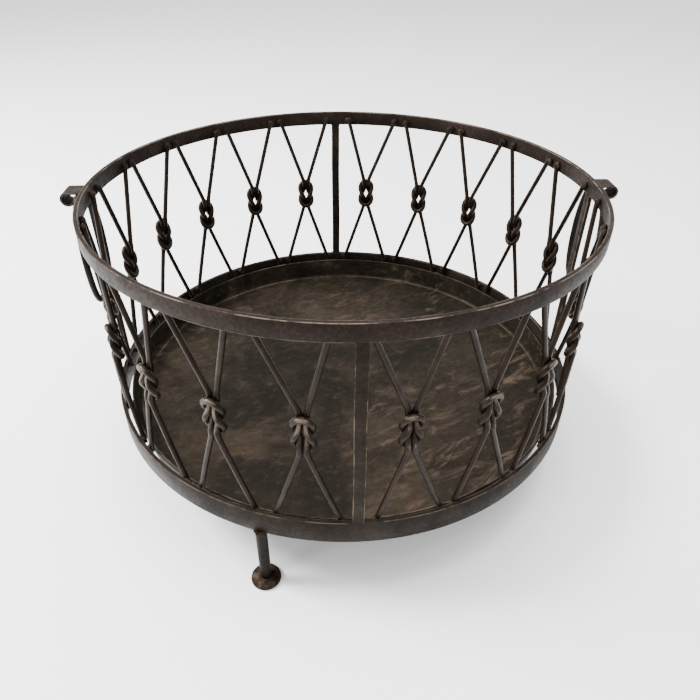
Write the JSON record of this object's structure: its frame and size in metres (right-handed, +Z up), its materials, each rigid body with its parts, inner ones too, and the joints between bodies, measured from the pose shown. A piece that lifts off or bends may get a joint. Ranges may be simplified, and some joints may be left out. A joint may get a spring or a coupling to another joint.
{
  "type": "round wrought-iron fire basket",
  "caption": "Low round fire basket: a wall of knotted iron rods between two flat-bar hoops, a shallow ash pan in its foot, short legs on disc feet and an oval drop handle on each side.",
  "frame": {"origin": "on the ground under the middle of the basket", "axes": "+Z up; +X through the right-hand handle and -X through the left-hand one; -Y towards the upright that faces the front"},
  "size_m": [0.6536, 0.6, 0.358],
  "materials": {
    "forged_bar": "dark brown-black iron, worn bright on its edges",
    "round_rod": "dark brown-grey forged rod, satin",
    "pan_sheet": "mottled brown sheet with rust and brushed marks",
    "weld_metal": "rough, rusted weld",
    "leg_bar": "dark brown-grey bar, satin",
    "rusty_foot": "rough brown rust",
    "handle_rod": "dark smooth bar, satin",
    "handle_strap": "dark brown strap, worn on top"
  },
  "bodies": {
    "basket": {"top_hoop": "forged_bar", "bottom_hoop": "forged_bar", "ash_pan": "pan_sheet", "pan_tacks": "weld_metal", "upright_right": "forged_bar", "upright_back": "forged_bar", "upright_left": "forged_bar", "upright_front": "forged_bar", "upper_rod_01": "round_rod", "upper_rod_02": "round_rod", "upper_rod_03": "round_rod", "upper_rod_04": "round_rod", "upper_rod_05": "round_rod", "upper_rod_06": "round_rod", "upper_rod_07": "round_rod", "upper_rod_08": "round_rod", "upper_rod_09": "round_rod", "upper_rod_10": "round_rod", "upper_rod_11": "round_rod", "upper_rod_12": "round_rod", "upper_rod_13": "round_rod", "upper_rod_14": "round_rod", "upper_rod_15": "round_rod", "upper_rod_16": "round_rod", "upper_rod_17": "round_rod", "upper_rod_18": "round_rod", "upper_rod_19": "round_rod", "upper_rod_20": "round_rod", "lower_rod_01": "round_rod", "lower_rod_02": "round_rod", "lower_rod_03": "round_rod", "lower_rod_04": "round_rod", "lower_rod_05": "round_rod", "lower_rod_06": "round_rod", "lower_rod_07": "round_rod", "lower_rod_08": "round_rod", "lower_rod_09": "round_rod", "lower_rod_10": "round_rod", "lower_rod_11": "round_rod", "lower_rod_12": "round_rod", "lower_rod_13": "round_rod", "lower_rod_14": "round_rod", "lower_rod_15": "round_rod", "lower_rod_16": "round_rod", "lower_rod_17": "round_rod", "lower_rod_18": "round_rod", "lower_rod_19": "round_rod", "lower_rod_20": "round_rod", "leg_front": "leg_bar", "leg_right": "leg_bar", "leg_back": "leg_bar", "foot_front": "rusty_foot", "foot_right": "rusty_foot", "foot_back": "rusty_foot", "handle_strap_left": "handle_strap", "handle_strap_right": "handle_strap"},
    "left_handle": {"drop_handle_left": "handle_rod"},
    "right_handle": {"drop_handle_right": "handle_rod"}
  },
  "joints": [
    {"name": "right_handle_swing", "type": "hinge", "parent": "basket", "child": "right_handle", "pos_m": [0.3064, 0, 0.3471], "axis": [0, -1, 0], "range_deg": [0, 195]},
    {"name": "left_handle_swing", "type": "hinge", "parent": "basket", "child": "left_handle", "pos_m": [-0.3064, 0, 0.3471], "axis": [0, 1, 0], "range_deg": [0, 195]}
  ]
}
